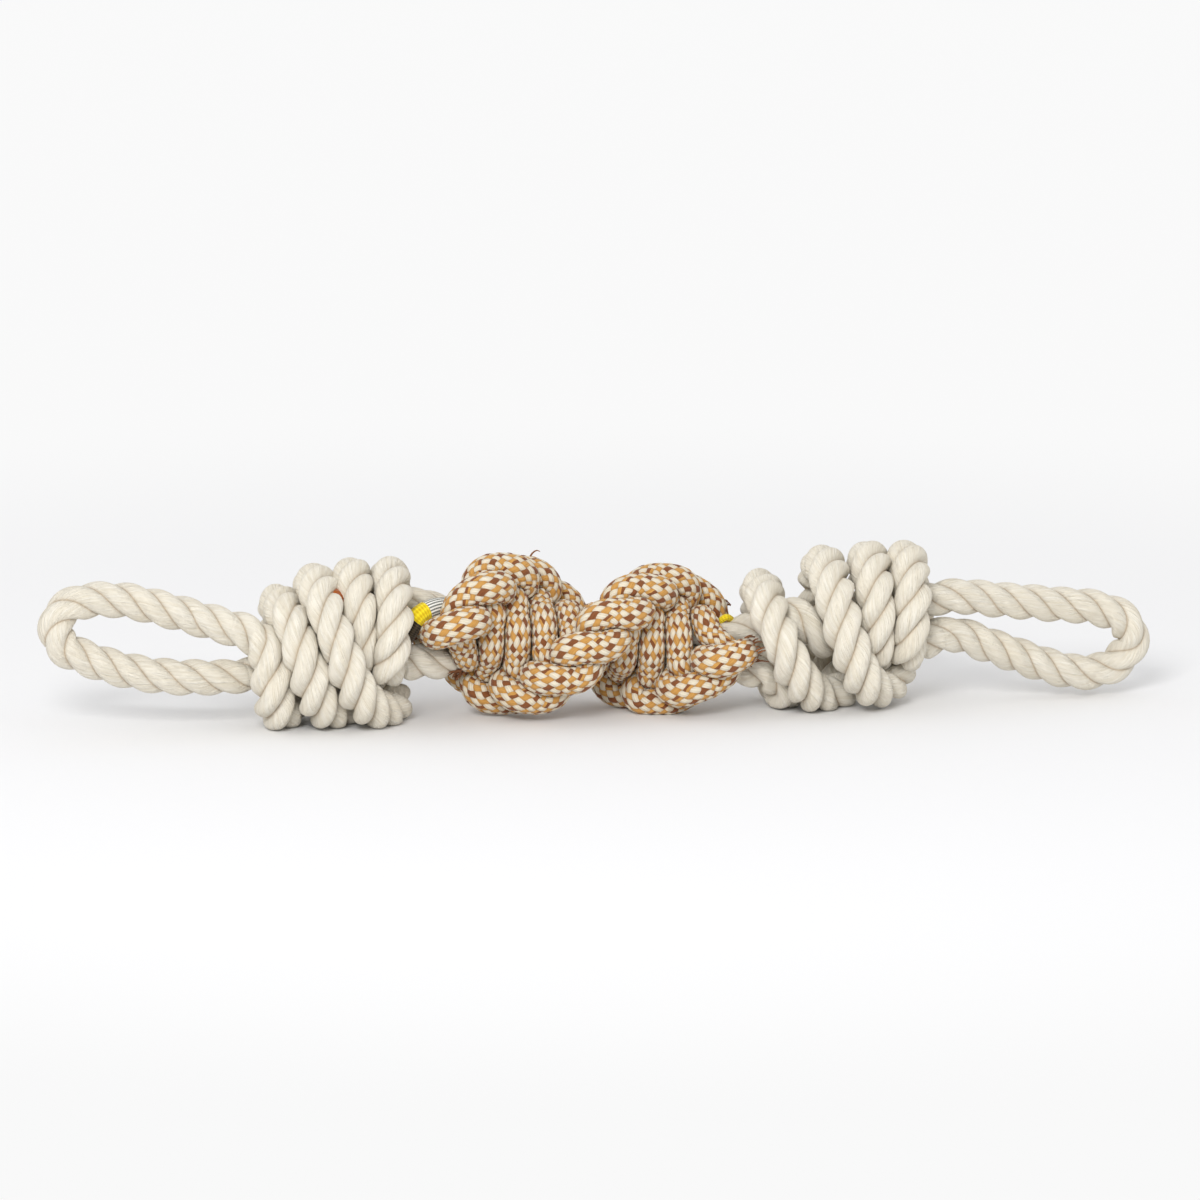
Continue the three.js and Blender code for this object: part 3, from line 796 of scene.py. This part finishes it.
# %% Build the checked cord
checked_ridge_size, checked_bar_size = 7.3, 6.1
checked_sides = 2 * bundles_round
checked_step, checked_own_reach = 0.82, 15
core_end_x, core_step = 60, 2.0
bulge_height, bulge_base = 0.7, 0.45
frayed_reach, narrowed_reach, narrowed_share = 3, 10, 0.78
checked_line, checked_out, checked_arcs = smooth_line(checked_line, out_of_axis, checked_step)
checked_size = np.interp(checked_out, [bar_radius + 1, ridge_radius - 4], [checked_bar_size, checked_ridge_size])
checked_outward = ring_directions(checked_line, even_angles(checked_sides, len(checked_line)))
core_line = np.array(sloped([around(x, 0, 0) for x in np.arange(-core_end_x, core_end_x, core_step)]))
checked_room = room_outwards(checked_line, checked_arcs, checked_outward, checked_ridge_size, checked_own_reach,
                             [core_line])
checked_radii = evened(softly_limited(np.repeat(checked_size[:, None], checked_sides, axis=1), checked_room), 4)
units = np.arange(checked_sides) / checked_sides * bundles_round
raised = braid_height(checked_arcs[:, None], units[None, :])
from_cut = np.minimum(checked_arcs, checked_arcs[-1] - checked_arcs)
near_cut = np.clip(1 - from_cut / frayed_reach, 0, 1)
checked_radii *= np.interp(from_cut, [0, narrowed_reach], [narrowed_share, 1])[:, None]
checked_radii = checked_radii + bulge_height * raised - bulge_base
checked_rings = checked_line[:, None] + checked_outward * checked_radii[:, :, None]
fold_ring = int(np.linalg.norm(checked_line - np.array(fold_place), axis=1).argmin())
checked_braids = []
for name, stretch in (("first_half_of_checked_braid", slice(0, fold_ring + 1)),
                      ("second_half_of_checked_braid", slice(fold_ring, None))):
    half = tube_mesh(name, checked_rings[stretch], checked_arcs[stretch], bundles_round, dome=0.25)
    keep_value(half, "cut_end", np.repeat(near_cut[stretch][:, None], checked_sides, axis=1))
    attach(half, "middle")
    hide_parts("checked_cord")
    checked_braids.append(half)
    print(name, "has", len(half.data.polygons), "faces")
print("checked cord:", round(checked_arcs[-1]), "mm, folded at", round(checked_arcs[fold_ring]), "mm")

# %% The braid's pattern as a node group
braid, braid_in, braid_out = new_group(
    "braid_diamonds", [("Along", 0), ("Round", 0)], ["White", "Brown", "Height", "Strand", "Yarns"])


def wave_of(share):
    return calc(braid, "MULTIPLY", calc(braid, "SINE", calc(braid, "MULTIPLY", share, math.pi)), up)


def swell_of(share):
    return calc(braid, "MULTIPLY", calc(braid, "MULTIPLY", share, 4.0), calc(braid, "SUBTRACT", 1.0, share))


steps_along = calc(braid, "DIVIDE", braid_in.outputs["Along"], braid_step)
first = calc(braid, "MULTIPLY", calc(braid, "ADD", steps_along, braid_in.outputs["Round"]), 0.5)
second = calc(braid, "MULTIPLY", calc(braid, "SUBTRACT", steps_along, braid_in.outputs["Round"]), 0.5)
first_cell, second_cell = calc(braid, "FLOOR", first), calc(braid, "FLOOR", second)
first_share = calc(braid, "SUBTRACT", first, first_cell)
second_share = calc(braid, "SUBTRACT", second, second_cell)
odd_cell = calc(braid, "FLOORED_MODULO", calc(braid, "ADD", first_cell, second_cell), 2.0)
up = calc(braid, "MULTIPLY_ADD", odd_cell, -2.0 * braid_wave, braid_wave)
white_level = calc(braid, "ADD", wave_of(first_share), swell_of(second_share))
coloured_level = calc(braid, "SUBTRACT", swell_of(first_share), wave_of(second_share))
white_mask = calc(braid, "GREATER_THAN", white_level, coloured_level)
colour_mask = calc(braid, "SUBTRACT", 1.0, white_mask)
bundle = calc(braid, "FLOORED_MODULO", first_cell, 4.0)
brown_bundle = calc(braid, "LESS_THAN", bundle, 0.5)
two_tone_bundle = calc(braid, "COMPARE", bundle, 2.0, 0.5)
brown_half = calc(braid, "MULTIPLY", two_tone_bundle, calc(braid, "GREATER_THAN", first_share, 0.5))
height = calc(braid, "DIVIDE", calc(braid, "MAXIMUM", white_level, coloured_level), 1 + braid_wave, clamp=True)
strand = calc(braid, "MULTIPLY", white_mask, second)
strand = calc(braid, "ADD", strand, calc(braid, "MULTIPLY", colour_mask, first))
yarn_wave = calc(braid, "ABSOLUTE", calc(braid, "SINE", calc(braid, "MULTIPLY", strand, 3 * math.pi)))
for label, value in (("White", white_mask), ("Brown", calc(braid, "ADD", brown_bundle, brown_half)),
                     ("Height", height), ("Strand", strand), ("Yarns", yarn_wave)):
    braid.links.new(value, braid_out.inputs[label])

# %% The checked cord's material
checks, checks_tree, checks_shader = new_material("checked_braid_yarn", 0.9)
along, units_round = rope_map(checks_tree)
diamonds = checks_tree.nodes.new("ShaderNodeGroup")
diamonds.node_tree = braid
wobble = calc(checks_tree, "ADD", noise(checks_tree, own_place(checks_tree), 300, 1.0), -0.5)
checks_tree.links.new(calc(checks_tree, "ADD", along, wobble), diamonds.inputs["Along"])
checks_tree.links.new(calc(checks_tree, "MULTIPLY_ADD", wobble, 0.3, units_round), diamonds.inputs["Round"])
streak, fuzz = place_streaks(checks_tree, along, diamonds.outputs["Strand"], 5, 0.3)
tone = calc(checks_tree, "MULTIPLY_ADD", streak, 2.4, -0.7, clamp=True)
tan = mixed(checks_tree, tone, (180, 129, 62), (205, 157, 88))
brown = mixed(checks_tree, tone, (108, 61, 33), (140, 86, 50))
white = mixed(checks_tree, tone, (203, 191, 166), (230, 222, 203))
coloured = mixed(checks_tree, diamonds.outputs["Brown"], tan, brown)
woven = mixed(checks_tree, diamonds.outputs["White"], coloured, white)
# Painted shade: the gaps between the bundles are darkened, most at the corners between the diamonds.
painted_gap_shade = calc(checks_tree, "POWER", calc(checks_tree, "SUBTRACT", 1.0, diamonds.outputs["Height"], clamp=True), 2.0)
woven = mixed(checks_tree, calc(checks_tree, "MULTIPLY", painted_gap_shade, 0.8), woven, (128, 88, 50))
# Painted shade in the grooves between the yarns of each bundle.
painted_yarn_groove_shade = calc(checks_tree, "POWER", calc(checks_tree, "SUBTRACT", 1.0, diamonds.outputs["Yarns"]), 2.0)
woven = mixed(checks_tree, calc(checks_tree, "MULTIPLY", painted_yarn_groove_shade, 0.16), woven, (110, 78, 50))
frayed = calc(checks_tree, "MULTIPLY", kept_value(checks_tree, "cut_end"), 0.85)
woven = mixed(checks_tree, frayed, woven, (70, 42, 26))
checks_tree.links.new(woven, checks_shader.inputs["Base Color"])
relief = calc(checks_tree, "MULTIPLY_ADD", streak, 0.4, diamonds.outputs["Height"])
relief = calc(checks_tree, "MULTIPLY_ADD", diamonds.outputs["Yarns"], 0.25, relief)
add_bump(checks_tree, checks_shader, relief, 0.0006, 0.8)
for half in checked_braids:
    half.data.materials.append(checks)
for piece in rope_pieces:
    piece.data.materials.append(cotton)

# %% [markdown]
# Where the cord was cut, its yarns have come loose and stand out as short dark tufts. One more tuft hangs out
# under the folded end, and one loose yarn stands up on top.

# %% Loose yarns
loose, loose_tree, loose_shader = new_material("loose_yarn", 0.95)
loose_tone = noise(loose_tree, own_place(loose_tree), 220, 2.0)
loose_tree.links.new(mixed(loose_tree, loose_tone, (58, 30, 16), (150, 96, 56)), loose_shader.inputs["Base Color"])
yarn_radius, yarn_tip_share, yarn_sides, yarn_step = 0.5, 0.35, 6, 0.7
yarn_spread, shortest_yarn, longest_yarn, yarn_droop = 0.6, 0.6, 1.1, 0.8
curl_x = -24
curl_steps = ((-0.5, 0, -1), (1, 0, 1.4), (2.8, 0, 2.4), (4.2, 0, 1.9))


def loose_yarn(places):
    line, sizes, arcs = smooth_line(places, np.linspace(1, yarn_tip_share, len(places)), yarn_step)
    outward = ring_directions(line, even_angles(yarn_sides, len(line)))
    rings = line[:, None] + outward * (yarn_radius * sizes)[:, None, None]
    piece = tube_mesh("loose_yarn", rings, arcs, 1)
    piece.data.materials.append(loose)
    return piece


def on_the_braid(place):
    """The place on the braid's surface that is nearest to a given one."""
    surface = checked_rings.reshape(-1, 3)
    return surface[np.linalg.norm(surface - place, axis=1).argmin()]


def tuft(place, direction, count, width, length, seed):
    """Yarns that start on the braid within a small patch and run roughly one way."""
    chance = np.random.default_rng(seed)
    place, direction = np.array(place, float), np.array(direction, float)
    direction = direction / np.linalg.norm(direction)
    yarns = []
    for _ in range(count):
        start = on_the_braid(place + chance.uniform(-width, width, 3))
        way = direction + chance.uniform(-yarn_spread, yarn_spread, 3)
        reach = length * chance.uniform(shortest_yarn, longest_yarn)
        tip = start + way * reach + np.array([0, 0, -yarn_droop])
        yarns.append(loose_yarn([start, start + way * reach * 0.5, tip]))
    return yarns


yarns = tuft(checked_line[-1], checked_line[-1] - checked_line[-4], 26, 3.0, 4.5, 1)
yarns += tuft(checked_line[0], checked_line[0] - checked_line[3], 20, 3.0, 2.2, 2)
yarns += tuft((-59.5, -3.5, 19.5), (-1, -0.1, -0.2), 24, 2.0, 4.6, 3)
near_the_curl = [point for point in checked_rings.reshape(-1, 3) if abs(point[0] - curl_x) < 1]
curl_root = max(near_the_curl, key=lambda point: point[2])
yarns.append(loose_yarn([curl_root + np.array(step) for step in curl_steps]))
bpy.ops.object.select_all(action="DESELECT")
for yarn in yarns:
    yarn.select_set(True)
bpy.context.view_layer.objects.active = yarns[0]
bpy.ops.object.join()
loose_yarns = yarns[0]
loose_yarns.name = "loose_yarns"
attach(loose_yarns, "middle")
print("loose yarns:", len(loose_yarns.data.polygons), "faces")

# %% [markdown]
# ## The striped cord
# A thin yellow cord runs inside the rope. It comes to light in both necks, and an orange bit of it between two
# turns of the left knot. It is braided too, with orange, black, grey and white bands beside the yellow, so a
# plain closely knitted skin with bands along its length is enough.

# %% Build the two visible stretches of the striped cord
striped_step, striped_sides, stitches_round = 0.8, 20, 10
striped_radius = {"left": 4.4, "right": 1.5}
first_millimetre = {"left": 0, "right": 90}
striped_routes = {
    "left": [
        [-117, -6, 58], [-115.3, -13.5, 57], [-113.8, -15, 53], [-112, -13.5, 48.5], [-107, -8, 43.5],
        [-99, -5, 38], [-91, -9, 31], [-86.5, -12, 36], [-83, -13, 42], [-78, -13, 48.4], [-70.5, -9.5, 50.8],
        [-62, -4, 49], [-52, 0, 43],
    ],
    "right": [
        [50, 0, 33], [55, -3, 39], [58, -4.2, 41.4], [62, 0, 38.5], [67, 3, 32], [68, 1, 24], [65, -3.6, 20],
        [59, -4, 20.4],
    ],
}
striped_pieces = []
for side, places in striped_routes.items():
    line, _, arcs = smooth_line(places, np.ones(len(places)), striped_step)
    outward = ring_directions(line, even_angles(striped_sides, len(line)))
    rings = line[:, None] + outward * striped_radius[side]
    print(side, "striped cord, millimetres long:", round(float(arcs[-1])))
    piece = tube_mesh(f"{side}_yellow_cord", rings, arcs + first_millimetre[side], stitches_round)
    blend_across_neck(piece)
    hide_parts(f"{side}_striped_cord")
    striped_pieces.append(piece)

# %% The striped cord's material
striped, striped_tree, striped_shader = new_material("striped_yellow_yarn", 0.85)
along, units_round = rope_map(striped_tree)
slant = calc(striped_tree, "ADD", along, units_round)
knit = calc(striped_tree, "SINE", calc(striped_tree, "MULTIPLY", slant, math.pi))
other_slant = calc(striped_tree, "SUBTRACT", along, units_round)
other_knit = calc(striped_tree, "SINE", calc(striped_tree, "MULTIPLY", other_slant, math.pi))
stitches = calc(striped_tree, "MULTIPLY_ADD", calc(striped_tree, "MULTIPLY", knit, other_knit), 0.5, 0.5)
# Each band has its middle and its half width, in millimetres along the cord.
in_brown = calc(striped_tree, "COMPARE", along, 0.0, 22.0)
in_black = calc(striped_tree, "COMPARE", along, 58.5, 10.0)
in_grey = calc(striped_tree, "COMPARE", along, 81.0, 6.0)
grey_wave = calc(striped_tree, "SINE", calc(striped_tree, "MULTIPLY", units_round, 4 * math.pi))
grey_line = calc(striped_tree, "GREATER_THAN", grey_wave, 0.0)
yellow = mixed(striped_tree, stitches, (204, 168, 14), (246, 226, 44))
grey = mixed(striped_tree, grey_line, (236, 236, 230), (120, 122, 116))
black = mixed(striped_tree, stitches, (34, 28, 20), (92, 80, 62))
striped_colour = mixed(striped_tree, in_black, yellow, black)
striped_colour = mixed(striped_tree, in_brown, striped_colour, (158, 84, 32))
striped_colour = mixed(striped_tree, in_grey, striped_colour, grey)
striped_tree.links.new(striped_colour, striped_shader.inputs["Base Color"])
add_bump(striped_tree, striped_shader, stitches, 0.0005, 0.8)
for piece in striped_pieces:
    piece.data.materials.append(striped)

# %% [markdown]
# ## Floor and light
# A pale seamless floor and soft light, as in a small photo studio. Close to the toy the floor is lit and takes
# its shadow. Further away it fades into an even white that lights nothing, so no horizon shows.

# %% The floor
floor_mesh = bpy.data.meshes.new("studio_floor")
floor_mesh.from_pydata([(-9, -5, 0), (9, -5, 0), (9, 16, 0), (-9, 16, 0)], [], [(0, 1, 2, 3)])
studio_floor = add_object("studio_floor", floor_mesh)
floor_material = bpy.data.materials.new("pale_floor")
floor_material.use_nodes = True
floor_tree = floor_material.node_tree
floor_shader = floor_tree.nodes["Principled BSDF"]
set_inputs(floor_shader, {"Roughness": 0.9, "Specular IOR Level": 0.1, "Emission Color": (1, 1, 1, 1)})
backdrop_level = 0.93
fade_start, fade_end = 0.28, 0.75
distance = floor_tree.nodes.new("ShaderNodeVectorMath")
distance.operation = "LENGTH"
floor_tree.links.new(own_place(floor_tree), distance.inputs[0])
fade = floor_tree.nodes.new("ShaderNodeMapRange")
fade.interpolation_type = "SMOOTHSTEP"
set_inputs(fade, {"From Min": fade_start, "From Max": fade_end})
floor_tree.links.new(distance.outputs["Value"], fade.inputs["Value"])
light_path = floor_tree.nodes.new("ShaderNodeLightPath")
seen = calc(floor_tree, "MAXIMUM", light_path.outputs["Is Camera Ray"], light_path.outputs["Is Glossy Ray"])
faded = calc(floor_tree, "MULTIPLY", seen, fade.outputs["Result"])
floor_tree.links.new(mixed(floor_tree, faded, (236, 236, 237), (0, 0, 0)), floor_shader.inputs["Base Color"])
floor_tree.links.new(calc(floor_tree, "MULTIPLY", faded, backdrop_level), floor_shader.inputs["Emission Strength"])
floor_mesh.materials.append(floor_material)

# %% The lights
world = bpy.context.scene.world or bpy.data.worlds.new("studio")
bpy.context.scene.world = world
world.use_nodes = True
world_tree = world.node_tree
background = world_tree.nodes["Background"]
background.inputs["Color"].default_value = (1, 1, 1, 1)
world_path = world_tree.nodes.new("ShaderNodeLightPath")
world_level = 0.85
sky_strength = calc(world_tree, "MULTIPLY_ADD", world_path.outputs["Is Camera Ray"],
                    backdrop_level - world_level, world_level)
world_tree.links.new(sky_strength, background.inputs["Strength"])

key_place, lit_place = Vector((-1.1, -2.9, 1.75)), Vector((0, 0, 0.03))
key_data = bpy.data.lights.new("key_light", "AREA")
key_data.size = 1.1
key_data.energy = 73
key_light = add_object("key_light", key_data)
key_light.location = key_place
key_light.rotation_euler = (key_place - lit_place).to_track_quat("Z", "Y").to_euler()
bpy.context.scene.view_settings.view_transform = "Standard"
